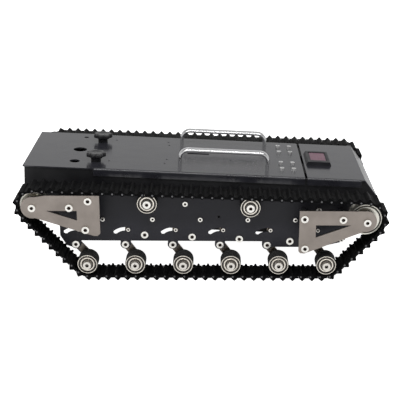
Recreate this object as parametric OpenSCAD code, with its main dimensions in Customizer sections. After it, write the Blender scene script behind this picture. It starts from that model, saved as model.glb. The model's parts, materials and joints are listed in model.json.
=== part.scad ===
// Tracked tank chassis with sprung trailing arms, a hinged lid and a raked hull.
// X runs along the chassis with the drive end at +X, Y across it and Z up.
// The origin is on the ground, midway between the tracks.

/* [Layout] */
// Distance from the centre plane to the outer edge of each track
track_outer_y = 163; // [158:0.5:168]
// Width of each track
track_w = 40; // [36:0.5:42]
// Height of the deck surface above the ground at the origin
deck_z = 152.4; // [150:0.2:156]
// Slope of the hull over the level suspension plates, in degrees
rake = 2.35; // [1.5:0.05:2.8]

/* [Track] */
// Target distance between track pins
link_pitch = 15; // [14.5:0.1:15.5]
// Radius of the barrels that carry the track pins
barrel_r = 3.3; // [3.1:0.1:3.4]
// Radius of a track pin
track_pin_r = 1.5; // [1.2:0.1:1.6]
// Height of a grouser tip beyond the pin centre
grouser_h = 6.5; // [6:0.1:7]

/* [Suspension] */
// Number of road wheels on each side
wheel_count = 6; // [6:1:6]
// Distance between neighbouring road wheels
wheel_pitch = 73.8; // [73:0.1:75]
// Radius of the road wheels and return rollers
wheel_r = 15.9; // [15:0.1:16]
// X position of the first suspension pivot
pivot_x = -194.1; // [-196:0.1:-192]
// Height of the suspension pivots
pivot_z = 48.2; // [46:0.1:49]
// Horizontal distance from a pivot to its road wheel
arm_dx = 16.7; // [16:0.1:18]
// How much further forward the first pivot sits, which lengthens the first arm
first_shift = 3.6; // [0:0.1:4]
// Distance from a pivot to its stop pin
stop_r = 24.7; // [24:0.1:25.5]
// Angle of the stop pin above horizontal with the arm fully down
stop_angle = 79; // [76:1:82]
// Upward travel the slots allow an arm, in degrees
arm_travel = 48; // [40:1:50]

/* [End wheels] */
// Radius of the belt line on the idler at the front
idler_r = 21; // [20:0.5:22]
// X position of the idler axle
idler_x = -256.6; // [-258:0.1:-254]
// Height of the idler axle
idler_z = 121; // [120:0.5:123]
// Radius of the belt line on the drive wheel at the rear
drive_r = 25.2; // [24:0.2:26]
// X position of the drive axle
drive_x = 250.3; // [248:0.1:252]
// Height of the drive axle
drive_z = 100; // [98:0.5:102]

/* [Hull] */
// Outer width of the hull tub
hull_w = 183; // [178:0.5:184]
// Depth of the hull tub below the deck
hull_h = 95; // [92:0.5:96]
// Thickness of the hull, lid and cover sheet
sheet = 2; // [1.5:0.1:2.2]
// X position of the lid hinge
hinge_x = 162.6; // [160:0.2:165]
// X position of the front edge of the lid
lid_front_x = -281.7; // [-283:0.1:-281]
// Height of the carrying handles above the deck
handle_h = 28.6; // [26:0.2:36]
// Overall length of a carrying handle
handle_len = 146.5; // [140:0.5:150]

/* [Hidden] */
$fn = 64;

left = -1;
right = 1;

// Layers across one side, as distances from the centre plane
track_inner_y = track_outer_y - track_w;
end_plate_y = track_outer_y + 2;
plate_t = 3;
plate_y = 129;
plate_outer_y = plate_y + plate_t;
arm_gap = 0.3;
arm_t = 4;
arm_outer_y = plate_y - arm_gap;
arm_inner_y = arm_outer_y - arm_t;
wheel_outer_y = track_outer_y - 2;
wheel_inner_y = 136;
roller_outer_y = 148;
roller_inner_y = 134;
hull_y = hull_w / 2;

// Suspension
arm_drop = pivot_z - (2 * barrel_r + 3.2 + wheel_r + 0.1);
wheel_z = pivot_z - arm_drop;
stop_dx = stop_r * cos(stop_angle);
stop_dz = stop_r * sin(stop_angle);
anchor_dx = 42.8;
anchor_dz = 42;
axle_r = 3.95;
bearing_bore_r = 4;
bearing_r = 11;
stop_pin_r = 3;
slot_w = 6.6;
screw_m6_r = 5.7;
screw_m4_r = 3.5;
screw_head_h = 3.2;

// Track line through the pin centres
inner_offset = barrel_r + 0.1;
wheels_line = [
    [wheel_x(1), wheel_z, wheel_r + inner_offset],
    [wheel_x(wheel_count) + 0.6, wheel_z, wheel_r + inner_offset],
    [drive_x, drive_z, drive_r + inner_offset],
    [idler_x, idler_z, idler_r + inner_offset]
];
corner_count = len(wheels_line);

// Top run slope, which places the return rollers just under the track
top_rise = (idler_z + idler_r) - (drive_z + drive_r);
function top_run_z(x) = drive_z + drive_r + 0.1 + (drive_x - x) / (drive_x - idler_x) * top_rise;
roller_x = [-85, 73.5];

// Screw places on the suspension plates
lower_screw_x = [-90.1, -16.3, 57.3, 136.3];
upper_screw_x = [-27, 180];
function lower_screw_z(x) = 60.7 - 0.0425 * x;
function upper_screw_z(x) = 114.6 - 0.0425 * x;
end_screw = [217, 57.6];
idler_plate_screws = [[-200.5, 121.7], [-177.1, 86.2], [-172, 132.3]];
drive_plate_screws = [[154.9, 105.6], [213.4, 104.7], [156.8, 57.2]];

// Deck features in the raked frame
knob_x = -171.7;
knob_y = 53;
handle_x = 32.5;
handle_y = 55;
meter_x = 188;
hinge_y = 44.5;
hinge_r = 1.5;
hinge_len = 46;
hinge_pin_r = 0.8;
hinge_slot = 0.4;
leaf_t = 1.2;
lid_leaf_w = 42;
hull_leaf_w = 6;
gap = hinge_r + 0.4;
flange_h = 12;
flange_y = hull_y + 0.4;
lid_y = flange_y + sheet;

// Places a shape in the raked frame, whose XY plane is the deck surface
module raked() {
    translate([0, 0, deck_z])
        rotate([0, rake, 0])
            children();
}

// Extrudes an XZ outline from y0 to y1
module slab(y0, y1) {
    translate([0, y1, 0])
        rotate([90, 0, 0])
            linear_extrude(height = y1 - y0)
                children();
}

// Cylinder along Y at [x, z], from y0 to y1
module pin_y(x, z, r, y0, y1) {
    translate([x, y1, z])
        rotate([90, 0, 0])
            cylinder(r = r, h = y1 - y0);
}

// Everything beside the hull is drawn on the right and mirrored for the left
module on_side(side) {
    if (side == right) children();
    else mirror([0, 1, 0]) children();
}

module both_sides() {
    on_side(right) children();
    on_side(left) children();
}

function wheel_x(i) = pivot_x + (i - 1) * wheel_pitch + arm_dx;
function pivot_at(i) = wheel_x(i) - arm_reach(i);
function arm_reach(i) = i == 1 ? arm_dx + first_shift : arm_dx;

// ---------------------------------------------------------------- track path

function dist(a, b) = norm([b[0] - a[0], b[1] - a[1]]);
function heading(a, b) = atan2(b[1] - a[1], b[0] - a[0]);
// Angle of the outward normal on the tangent from wheel a to wheel b
function normal_angle(a, b) = heading(a, b) - acos((a[2] - b[2]) / dist(a, b));
function turn(from, to) = (to - from + 720) % 360;
function wheel_at(i) = wheels_line[i % corner_count];
function leave_angle(i) = normal_angle(wheel_at(i), wheel_at(i + 1));
function enter_angle(i) = normal_angle(wheel_at(i + corner_count - 1), wheel_at(i));
function arc_turn(i) = turn(enter_angle(i), leave_angle(i));
function arc_len(i) = wheel_at(i)[2] * arc_turn(i) * PI / 180;
function line_len(i) = sqrt(pow(dist(wheel_at(i), wheel_at(i + 1)), 2)
    - pow(wheel_at(i)[2] - wheel_at(i + 1)[2], 2));
function rim_point(w, a) = [w[0] + w[2] * cos(a), w[1] + w[2] * sin(a)];
function travelled(i) = i == 0 ? 0 : travelled(i - 1) + arc_len(i - 1) + line_len(i - 1);
path_len = travelled(corner_count);
link_count = round(path_len / link_pitch);
function along_line(i, s) = rim_point(wheel_at(i), leave_angle(i))
    + s * [-sin(leave_angle(i)), cos(leave_angle(i))];
function along_corner(i, s) = s < arc_len(i)
    ? rim_point(wheel_at(i), enter_angle(i) + s / wheel_at(i)[2] * 180 / PI)
    : along_line(i, s - arc_len(i));
function path_point(s, i = 0) = s <= travelled(i + 1) || i == corner_count - 1
    ? along_corner(i, s - travelled(i))
    : path_point(s, i + 1);
track_pins_at = [for (i = [0:link_count - 1]) path_point(i * path_len / link_count)];

// ---------------------------------------------------------------- hull

// Side outline of the tub; the slope at the rear lies under the tail cover
tub_top = -sheet;
tub_front = -279.5;
tub_rear = 275.4;
tub_outline = [
    [tub_front, tub_top], [tub_front, -50], [-224, -hull_h],
    [236, -hull_h], [tub_rear, -60], [tub_rear, -27.2], [254.5, tub_top]
];
tub_cavity = [
    [tub_front + sheet, 1], [tub_front + sheet, -49], [-223.2, -hull_h + sheet],
    [235.2, -hull_h + sheet], [tub_rear - sheet, -59], [tub_rear - sheet, -15],
    [250, 1]
];

module hull() {
    color([0.10, 0.10, 0.11])
        difference() {
            union() {
                raked() difference() {
                    slab(-hull_y, hull_y) polygon(tub_outline);
                    slab(-hull_y + sheet, hull_y - sheet) polygon(tub_cavity);
                }
                raked() knob_rail();
            }
            both_sides() {
                pin_y(drive_x, drive_z, 8, hull_y - 3, hull_y + 1);
                pin_y(idler_x, idler_z, 4, hull_y - 3, hull_y + 1);
            }
            raked() for (s = [left, right])
                translate([knob_x, s * knob_y, tub_top - 11])
                    cylinder(r = 5, h = 12);
        }
}

// Rail across the tub that the star knobs screw into
module knob_rail() {
    translate([knob_x - 9, -hull_y + sheet, tub_top - 10])
        cube([18, hull_w - 2 * sheet, 10]);
}

module knob_inserts() {
    color([0.78, 0.62, 0.30])
        raked() for (s = [left, right])
            translate([knob_x, s * knob_y, tub_top - 10])
                difference() {
                    cylinder(r = 5, h = 10);
                    translate([0, 0, -1]) cylinder(r = 3.2, h = 12);
                }
}

// Cross-section of a bent cover: flat top, rounded bends and side flanges
module bent_section(drop) {
    bend_r = 3;
    difference() {
        union() {
            translate([-lid_y + bend_r, -bend_r]) circle(r = bend_r);
            translate([lid_y - bend_r, -bend_r]) circle(r = bend_r);
            translate([-lid_y + bend_r, -drop]) square([2 * (lid_y - bend_r), drop]);
            translate([-lid_y, -drop]) square([2 * lid_y, drop - bend_r]);
        }
        translate([-flange_y, -drop - 1]) square([2 * flange_y, drop + 1 - sheet]);
    }
}

// Bent cover along X from x0 to x1
module bent_cover(x0, x1, drop) {
    translate([x0, 0, 0])
        rotate([90, 0, 90])
            linear_extrude(height = x1 - x0)
                bent_section(drop);
}

// Small round holes in the deck, as [x, y, radius]
deck_holes = [
    [-203.7, 2, 11], [-204.8, -60, 8], [-201.7, 72, 4],
    [-149, 63, 1.7], [-151, -52, 1.7], [-61, 64, 1.7], [-59, 47, 1.7],
    [-59.5, -31, 1.7], [-62, -52, 1.7], [44, -21, 1.7]
];
cable_slot = [-27, 3, 36, 7];

module lid() {
    color([0.30, 0.30, 0.32])
        raked() difference() {
            union() {
                translate([lid_front_x, -lid_y, -sheet])
                    cube([knob_x - lid_front_x + 1, 2 * lid_y, sheet]);
                bent_cover(knob_x, hinge_x - gap, flange_h);
            }
            for (h = deck_holes)
                translate([h[0], h[1], -sheet - 1]) cylinder(r = h[2], h = sheet + 2);
            translate([cable_slot[0], cable_slot[1], -sheet - 1])
                cube([cable_slot[2], cable_slot[3], sheet + 2]);
            for (s = [left, right])
                translate([knob_x, s * knob_y, -sheet - 1]) cylinder(r = 3.2, h = sheet + 2);
            lid_screw_holes();
        }
}

// Places the lid's screws: two in each handle foot and four in each hinge leaf
module at_handle_feet() {
    for (s = [left, right], e = [-1, 1])
        translate([handle_x + e * (handle_len / 2 - 3.2), s * handle_y, 0])
            children();
}

module at_hinge_screws() {
    for (s = [left, right], u = [15.7, 34.7], v = [-15.7, 15.7])
        translate([hinge_x - gap - u, s * hinge_y + v, 0])
            children();
}

module lid_screw_holes() {
    at_handle_feet() translate([0, 0, -sheet - 1]) cylinder(r = 2, h = sheet + 2);
    at_hinge_screws() translate([0, 0, -sheet - 1]) cylinder(r = 2, h = sheet + 2);
}

module lid_screws() {
    color([0.85, 0.85, 0.86]) raked() {
        at_hinge_screws() {
            difference() {
                cylinder(r = 3.6, h = 4.2);
                translate([0, 0, 2.2]) cylinder(r = 1.8, h = 3, $fn = 6);
            }
            translate([0, 0, -sheet - leaf_t - 1.5]) cylinder(r = 2, h = sheet + leaf_t + 1.5);
        }
        at_handle_feet() {
            translate([0, 0, -sheet - 2.6]) cylinder(r = 3.4, h = 2.6);
            translate([0, 0, -sheet - 0.1]) cylinder(r = 2, h = sheet + 0.1);
        }
    }
}

// Flat bar bent into a bridge, with its feet on the deck
module carry_handle() {
    bar_t = 6.4;
    bar_w = 13;
    corner_r = 14;
    half = handle_len / 2;
    rotate([90, 0, 0])
        translate([0, 0, -bar_w / 2])
            linear_extrude(height = bar_w)
                difference() {
                    bridge_outline(half, handle_h, corner_r);
                    bridge_outline(half - bar_t, handle_h - bar_t, corner_r - bar_t);
                }
}

module bridge_outline(half, top, r) {
    translate([-half, 0]) square([2 * half, top - r]);
    translate([-half + r, 0]) square([2 * (half - r), top]);
    translate([-half + r, top - r]) circle(r = r);
    translate([half - r, top - r]) circle(r = r);
}

module carry_handles() {
    color([0.80, 0.80, 0.81]) raked() for (s = [left, right])
        translate([handle_x, s * handle_y, 0]) carry_handle();
}

module tail_cover() {
    slope_foot = [277, -26];
    slope_top = 255.5;
    color([0.32, 0.32, 0.34]) raked() {
        difference() {
            union() {
                bent_cover(hinge_x + gap, 250, flange_h);
                slab(-lid_y, lid_y) polygon([
                    [249, 0], [slope_top, 0], slope_foot,
                    [slope_foot[0] - 1.5, slope_foot[1] - 1.3], [slope_top - 0.95, -sheet], [249, -sheet]
                ]);
            }
            translate([meter_x - 17, -26, -sheet - 1]) cube([34, 50, sheet + 2]);
        }
    }
}

module battery_meter() {
    bezel_h = 6;
    color([0.22, 0.22, 0.24]) raked()
        difference() {
            union() {
                slab(-27.5, 31) polygon([
                    [meter_x - 20.5, 0], [meter_x + 21, 0],
                    [meter_x + 18.5, bezel_h], [meter_x - 17.5, bezel_h]
                ]);
                translate([meter_x - 16.8, -25.8, -18]) cube([33.6, 49.6, 18]);
            }
            translate([meter_x - 13.5, -18, bezel_h - 2]) cube([28, 44, 4]);
        }
    color([0.35, 0.20, 0.28]) raked()
        translate([meter_x - 13.5, -18, bezel_h - 2]) cube([28, 44, 0.8]);
}

// ---------------------------------------------------------------- lid hinges

// Knuckles are thirds of the hinge length; the lid carries the middle one
module at_hinges() {
    for (s = [left, right])
        translate([hinge_x, s * hinge_y, -hinge_r]) children();
}

module hinge_leaf(x0, x1) {
    translate([x0, -hinge_len / 2, hinge_r - sheet - leaf_t])
        cube([x1 - x0, hinge_len, leaf_t]);
}

module knuckle(y0, y1, r) {
    pin_y(0, 0, r, y0, y1);
}

module lid_hinge_leaves() {
    third = hinge_len / 6;
    color([0.75, 0.75, 0.76]) raked() difference() {
        at_hinges() difference() {
            union() {
                hinge_leaf(-gap - lid_leaf_w, 0);
                knuckle(-third + hinge_slot, third - hinge_slot, hinge_r);
            }
            knuckle(-third * 3 - 1, -third, hinge_r + 0.3);
            knuckle(third, third * 3 + 1, hinge_r + 0.3);
            knuckle(-third * 3 - 1, third * 3 + 1, hinge_pin_r + 0.05);
        }
        at_hinge_screws() translate([0, 0, -8]) cylinder(r = 2, h = 9);
    }
}

module hull_hinge_leaves() {
    third = hinge_len / 6;
    color([0.75, 0.75, 0.76]) raked() at_hinges() {
        difference() {
            union() {
                hinge_leaf(0, gap + hull_leaf_w);
                knuckle(-third * 3, -third, hinge_r);
                knuckle(third, third * 3, hinge_r);
            }
            knuckle(-third, third, hinge_r + 0.3);
            knuckle(-third * 3 - 1, third * 3 + 1, hinge_pin_r);
        }
        knuckle(-third * 3, third * 3, hinge_pin_r);
    }
}

// ---------------------------------------------------------------- star knobs

module star_knob(side) {
    lobe_count = 7;
    color([0.06, 0.06, 0.065]) raked()
        translate([knob_x, side * knob_y, 0]) {
            cylinder(r = 8, h = 4.4);
            translate([0, 0, 4.4]) cylinder(r1 = 8, r2 = 12.5, h = 3);
            translate([0, 0, 7.4]) {
                cylinder(r = 12.8, h = 6.8);
                for (i = [0:lobe_count - 1])
                    rotate([0, 0, i * 360 / lobe_count])
                        translate([12, 0, 0]) cylinder(r = 3.9, h = 6.8);
            }
            translate([0, 0, -16]) cylinder(r = 2.4, h = 17);
        }
}

// ---------------------------------------------------------------- inside the hull

floor_z = -hull_h + sheet;

module battery_pack() {
    color([0.12, 0.22, 0.45]) raked()
        translate([-140, -36, floor_z]) {
            cube([152, 72, 52]);
            translate([152, 20, 30]) cube([12, 24, 12]);
        }
}

module motor_driver() {
    color([0.10, 0.35, 0.20]) raked()
        translate([60, -45, floor_z]) {
            for (x = [4, 86], y = [4, 76])
                translate([x, y, 0]) cylinder(r = 3, h = 8);
            translate([0, 0, 8]) cube([90, 80, 1.6]);
            translate([10, 8, 9.6]) cube([40, 64, 5]);
            for (k = [0:5])
                translate([10 + k * 7.5, 8, 14]) cube([2.5, 64, 14]);
            for (y = [6:15:66])
                translate([66, y, 9.6]) cube([14, 10, 10]);
        }
}

module gear_motors() {
    gearbox_len = 26;
    motor_len = 42;
    start = hull_y - sheet;
    color([0.60, 0.60, 0.62])
        both_sides() difference() {
            union() {
                pin_y(drive_x - 5, drive_z, 18.5, start - gearbox_len, start);
                pin_y(drive_x - 5, drive_z, 17, start - gearbox_len - motor_len, start - gearbox_len);
                pin_y(drive_x - 5, drive_z, 5, start - gearbox_len - motor_len - 4, start - 60);
            }
            pin_y(drive_x, drive_z, 5.05, start - 14, start + 1);
        }
}

// ---------------------------------------------------------------- suspension plates

first_pivot = pivot_at(1);
last_pivot = pivot_at(wheel_count);
plate_outline = [
    [-221.8, top_run_z(-221.8) - 8.5], [-221.8, 62], [-212, 45.5], [first_pivot - 5, 42.5],
    [first_pivot, 42.5], [first_pivot, 53.6], [109, 53.6], [109, 44.3],
    [181, 44.3], [218, 53.4], [222, 56.5], [224, 61], [224, top_run_z(224) - 8.5]
];

module arc_slot(r, w, from, to, t) {
    rotate([0, 0, from])
        rotate_extrude(angle = to - from)
            translate([r - w / 2, 0]) square([w, t]);
    for (a = [from, to])
        rotate([0, 0, a]) translate([r, 0, 0]) cylinder(r = w / 2 + 0.1, h = t);
}

module plate_holes(y0, y1) {
    for (i = [1:wheel_count]) {
        pin_y(pivot_at(i), pivot_z, 3, y0, y1);
        pin_y(pivot_at(i) + anchor_dx, pivot_z + anchor_dz, 2, y0, y1);
        translate([pivot_at(i), y1, pivot_z])
            rotate([90, 0, 0])
                arc_slot(stop_r, slot_w, stop_angle - 1, stop_angle + arm_travel + 1, y1 - y0);
    }
    for (x = lower_screw_x) pin_y(x, lower_screw_z(x), 3, y0, y1);
    for (x = upper_screw_x) pin_y(x, upper_screw_z(x), 2, y0, y1);
    for (p = concat(idler_plate_screws, drive_plate_screws)) pin_y(p[0], p[1], 3, y0, y1);
    for (x = roller_x) pin_y(x, top_run_z(x) - wheel_r - 0.1, 3, y0, y1);
    pin_y(25.3, 94.1, 2.2, y0, y1);
    pin_y(end_screw[0], end_screw[1], 2, y0, y1);
}

module plate_ear() {
    circle(r = 8.2);
    translate([-7.8, 1]) square([15.6, 8]);
}

module suspension_plate(side) {
    color([0.15, 0.15, 0.17]) on_side(side)
        difference() {
            slab(plate_y, plate_outer_y) {
                polygon(plate_outline);
                for (i = [1:wheel_count])
                    translate([pivot_at(i), pivot_z]) plate_ear();
            }
            plate_holes(plate_y - 1, plate_outer_y + 1);
        }
}

// ---------------------------------------------------------------- outer end plates

module idler_plates() {
    color([0.66, 0.62, 0.59]) both_sides()
        end_plate(idler_x, idler_z, 4, idler_plate_screws) {
            union() {
                translate([idler_x, idler_z]) circle(r = 17);
                polygon([
                    [idler_x, idler_z + 16], [-236, idler_z + 19.5], [-155, idler_z + 19.5],
                    [-155, 80], [-159, 76], [-164, 75.7], [-261, 107.2]
                ]);
            }
            polygon([[-236, 116.2], [-189.4, 116.2], [-189.4, 100.8]]);
        }
}

module drive_plates() {
    color([0.66, 0.62, 0.59]) both_sides()
        end_plate(drive_x, drive_z, 4.05, drive_plate_screws) {
            union() {
                translate([248, 101.4]) circle(r = 16.8);
                polygon([
                    [147.3, 118], [147.3, 52], [150, 49], [156, 48.5], [253, 87.8], [246, 118]
                ]);
            }
            polygon([[172.5, 95.2], [226, 95.2], [172.5, 75]]);
        }
}

// Plate from its outline and its window, bored for the axle at [x, z] and the screws
module end_plate(x, z, bore_r, screws) {
    y0 = end_plate_y;
    y1 = end_plate_y + plate_t;
    difference() {
        slab(y0, y1) children(0);
        slab(y0 - 1, y1 + 1) children(1);
        pin_y(x, z, bore_r, y0 - 1, y1 + 1);
        for (p = screws) pin_y(p[0], p[1], 3, y0 - 1, y1 + 1);
    }
}

// ---------------------------------------------------------------- arms and wheels

// Flat bar in the XZ plane between two points
module bar(a, b, w, y0, y1) {
    translate([a[0], 0, a[1]])
        rotate([0, -heading(a, b), 0])
            translate([0, y0, -w / 2])
                cube([dist(a, b), y1 - y0, w]);
}

module arm(side, i) {
    pivot = [0, 0];
    axle = [arm_reach(i), -arm_drop];
    stop = [stop_dx, stop_dz];
    color([0.50, 0.50, 0.50]) on_side(side)
        translate([pivot_at(i), 0, pivot_z]) {
            difference() {
                union() {
                    pin_y(0, 0, 8, arm_inner_y, arm_outer_y);
                    bar(pivot, axle, 13, arm_inner_y, arm_outer_y);
                    pin_y(axle[0], axle[1], 7, arm_inner_y, arm_outer_y);
                    bar(pivot, stop, 10, arm_inner_y, arm_outer_y);
                    pin_y(stop[0], stop[1], 5.5, arm_inner_y, arm_outer_y);
                }
                pin_y(0, 0, 4.05, arm_inner_y - 1, arm_outer_y + 1);
                pin_y(axle[0], axle[1], axle_r, arm_inner_y - 1, arm_outer_y + 1);
                pin_y(stop[0], stop[1], stop_pin_r, arm_inner_y - 1, arm_outer_y + 1);
            }
            arm_axle(axle);
            arm_stop_pin(stop);
        }
}

// Wheel bolt, clamped in the arm by its collar, with a socket head outside
module arm_axle(at) {
    difference() {
        union() {
            pin_y(at[0], at[1], axle_r, arm_inner_y - 5, wheel_outer_y + 0.3);
            pin_y(at[0], at[1], 7, arm_inner_y - 4.5, arm_inner_y);
            pin_y(at[0], at[1], 5, arm_outer_y, wheel_inner_y - 0.3);
            pin_y(at[0], at[1], 6.2, wheel_outer_y + 0.3, wheel_outer_y + 6);
        }
        translate([at[0], wheel_outer_y + 7, at[1]])
            rotate([90, 0, 0]) cylinder(r = 3, h = 4, $fn = 6);
    }
}

module arm_stop_pin(at) {
    difference() {
        pin_y(at[0], at[1], stop_pin_r, arm_inner_y - 9, plate_outer_y + 1.8);
        translate([at[0], plate_outer_y + 3, at[1]])
            rotate([90, 0, 0]) cylinder(r = 1.7, h = 3.2, $fn = 6);
    }
}

// Rubber tyre on a tube with a ball bearing in each end
module spool(y0, y1, groove_count, bearing_w) {
    difference() {
        pin_y(0, 0, wheel_r, y0, y1);
        pin_y(0, 0, bearing_r, y0 - 1, y1 + 1);
        for (k = [1:groove_count])
            spool_groove(y0 + k * (y1 - y0) / (groove_count + 1), 1.6);
    }
    for (y = [y0, y1 - bearing_w])
        difference() {
            pin_y(0, 0, bearing_r, y, y + bearing_w);
            pin_y(0, 0, bearing_bore_r, y - 1, y + bearing_w + 1);
        }
}

module spool_groove(y, w) {
    difference() {
        pin_y(0, 0, wheel_r + 1, y - w / 2, y + w / 2);
        pin_y(0, 0, wheel_r - 1.2, y - w, y + w);
    }
}

module road_wheel(side, i) {
    color([0.08, 0.08, 0.08]) on_side(side)
        translate([wheel_x(i), 0, wheel_z])
            spool(wheel_inner_y, wheel_outer_y, 3, 7);
}

module return_roller(side, k) {
    x = roller_x[k - 1];
    color([0.08, 0.08, 0.08]) on_side(side)
        translate([x, 0, top_run_z(x) - wheel_r - 0.1])
            spool(roller_inner_y, roller_outer_y, 1, 5);
}

// Aluminium drum with two flanges and shallow teeth between them
module drive_wheel(side) {
    tooth_count = 12;
    rim_r = drive_r - 0.1;
    y0 = 131;
    y1 = 155;
    color([0.80, 0.79, 0.74]) on_side(side)
        translate([drive_x, 0, drive_z])
            difference() {
                union() {
                    pin_y(0, 0, rim_r - 3.2, y0, y1);
                    pin_y(0, 0, rim_r, y0, y0 + 3);
                    pin_y(0, 0, rim_r, y1 - 5, y1);
                    for (i = [0:tooth_count - 1])
                        rotate([0, i * 360 / tooth_count, 0])
                            translate([-1.6, y0 + 1, 0]) cube([3.2, y1 - y0 - 2, rim_r - 0.4]);
                }
                pin_y(0, 0, 5, y0 - 1, y1 + 1);
                difference() {
                    pin_y(0, 0, rim_r - 2.6, y1 - 2.4, y1 + 1);
                    pin_y(0, 0, rim_r - 5.2, y1 - 3, y1 + 2);
                }
                difference() {
                    pin_y(0, 0, 15.5, y1 - 5, y1 + 1);
                    pin_y(0, 0, 9, y1 - 6, y1 + 2);
                }
            }
}

// Live axle from the gearbox to the outer plate, with its end screw
module drive_axle(side) {
    color([0.78, 0.78, 0.79]) on_side(side) {
        pin_y(drive_x, drive_z, 5, hull_y - sheet - 12, end_plate_y - 1.5);
        difference() {
            union() {
                pin_y(drive_x, drive_z, 4, end_plate_y - 1.5, end_plate_y + plate_t + 0.2);
                pin_y(drive_x, drive_z, screw_m6_r, end_plate_y + plate_t + 0.2, end_plate_y + plate_t + 3.4);
            }
            hex_socket(drive_x, drive_z, end_plate_y + plate_t + 3.4);
        }
        difference() {
            pin_y(drive_x, drive_z, 8.5, 155, 157.5);
            pin_y(drive_x, drive_z, 5, 154, 158);
        }
    }
}

module idler(side) {
    rim_r = idler_r - 0.1;
    y0 = 131;
    y1 = 155;
    color([0.74, 0.74, 0.72]) on_side(side)
        translate([idler_x, 0, idler_z])
            difference() {
                pin_y(0, 0, rim_r, y0, y1);
                pin_y(0, 0, 4.05, y0 - 1, y1 + 1);
                for (y = [y0 - 1, y1 - 2])
                    difference() {
                        pin_y(0, 0, rim_r - 3, y, y + 3);
                        pin_y(0, 0, 8, y - 1, y + 4);
                    }
                difference() {
                    pin_y(0, 0, rim_r + 1, y0 + 6, y1 - 6);
                    pin_y(0, 0, rim_r - 2.5, y0 + 5, y1 - 5);
                }
            }
}

// ---------------------------------------------------------------- track

// One link, with its rear pin at the origin and the belt outside below
module track_link(length) {
    seg = track_w / 3;
    play = 0.4;
    clear_r = barrel_r + play;
    y = [track_inner_y, track_inner_y + seg, track_outer_y - seg, track_outer_y];
    difference() {
        union() {
            slab(y[0], y[3]) polygon([
                [0, 1.6], [length, 1.6], [length, -2.1], [7.2, -2.1],
                [3.4, -grouser_h], [1.8, -grouser_h], [-2.2, -2.4]
            ]);
            slab(y[0] + 1, y[0] + 4.5) polygon([[3.5, 1], [9.5, 1], [7.6, 5.4], [5.4, 5.4]]);
            pin_y(0, 0, barrel_r, y[0], y[1]);
            pin_y(0, 0, barrel_r, y[2], y[3]);
            pin_y(length, 0, barrel_r, y[1] + play, y[2] - play);
        }
        pin_y(0, 0, clear_r, y[1], y[2]);
        pin_y(length, 0, clear_r, y[0] - 1, y[1] + play);
        pin_y(length, 0, clear_r, y[2] - play, y[3] + 1);
        for (x = [0, length])
            pin_y(x, 0, track_pin_r + 0.05, y[0] - 1, y[3] + 1);
    }
}

module at_link(i) {
    a = track_pins_at[i];
    b = track_pins_at[(i + 1) % link_count];
    translate([a[0], 0, a[1]])
        rotate([0, -heading(a, b), 0])
            children();
}

module track_links(side) {
    color([0.06, 0.06, 0.065]) on_side(side)
        for (i = [0:link_count - 1])
            at_link(i)
                track_link(dist(track_pins_at[i], track_pins_at[(i + 1) % link_count]));
}

module track_pins() {
    color([0.70, 0.70, 0.72]) both_sides()
        for (p = track_pins_at)
            pin_y(p[0], p[1], track_pin_r, track_inner_y, track_outer_y);
}

// ---------------------------------------------------------------- springs and fasteners

// Extension spring from a stop pin to its anchor screw
module suspension_springs() {
    spring_r = 3.4;
    y = arm_inner_y - 4.6;
    color([0.75, 0.75, 0.77]) both_sides()
        for (i = [1:wheel_count]) {
            a = [pivot_at(i) + stop_dx, pivot_z + stop_dz];
            b = [pivot_at(i) + anchor_dx, pivot_z + anchor_dz];
            length = dist(a, b);
            translate([a[0], y, a[1]])
                rotate([0, 90 - heading(a, b), 0])
                    translate([0, 0, 7])
                        difference() {
                            cylinder(r = spring_r, h = length - 14);
                            translate([0, 0, -1]) cylinder(r = spring_r - 0.8, h = length - 12);
                        }
        }
}

module hex_socket(x, z, y) {
    translate([x, y + 1, z])
        rotate([90, 0, 0]) cylinder(r = 2.9, h = 3.2, $fn = 6);
}

// Screw head on a plate face at y, with a shank going inwards
module plate_screw(x, z, head_r, shank_r, y, shank) {
    difference() {
        union() {
            pin_y(x, z, head_r, y, y + screw_head_h);
            pin_y(x, z, shank_r, y - shank, y);
        }
        translate([x, y + screw_head_h + 1, z])
            rotate([90, 0, 0]) cylinder(r = head_r * 0.54, h = 3.6, $fn = 6);
    }
}

module m4_screws() {
    color([0.86, 0.86, 0.87]) both_sides() {
        for (i = [1:wheel_count])
            plate_screw(pivot_at(i) + anchor_dx, pivot_z + anchor_dz, screw_m4_r, 2, plate_outer_y, 16);
        for (x = upper_screw_x)
            plate_screw(x, upper_screw_z(x), screw_m4_r + 0.5, 2, plate_outer_y, 14);
        plate_screw(end_screw[0], end_screw[1], screw_m4_r, 2, plate_outer_y, plate_t + 3);
    }
}

module m6_screws() {
    outer = end_plate_y + plate_t;
    color([0.86, 0.86, 0.87]) both_sides() {
        for (x = lower_screw_x) plate_screw(x, lower_screw_z(x), screw_m6_r, 3, plate_outer_y, 14);
        for (p = concat(idler_plate_screws, drive_plate_screws))
            plate_screw(p[0], p[1], screw_m6_r, 3, outer, 14);
        for (i = [1:wheel_count]) pivot_screw(pivot_at(i));
    }
}

// Shoulder screw that an arm turns on
module pivot_screw(x) {
    plate_screw(x, pivot_z, screw_m6_r, 3, plate_outer_y, plate_t);
    pin_y(x, pivot_z, 4, arm_inner_y - 0.3, plate_y);
    pin_y(x, pivot_z, 6.5, arm_inner_y - 4.3, arm_inner_y - 0.3);
}

module spacer(x, z, bore_r, y0, y1) {
    difference() {
        pin_y(x, z, 5, y0, y1);
        pin_y(x, z, bore_r, y1 - 11, y1 + 1);
    }
}

module spacers() {
    color([0.70, 0.70, 0.72]) both_sides() {
        for (x = lower_screw_x) spacer(x, lower_screw_z(x), 3, hull_y, plate_y);
        for (x = upper_screw_x) spacer(x, upper_screw_z(x), 2, hull_y, plate_y);
        for (p = concat(idler_plate_screws, drive_plate_screws))
            spacer(p[0], p[1], 3, plate_outer_y, end_plate_y);
    }
}

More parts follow.
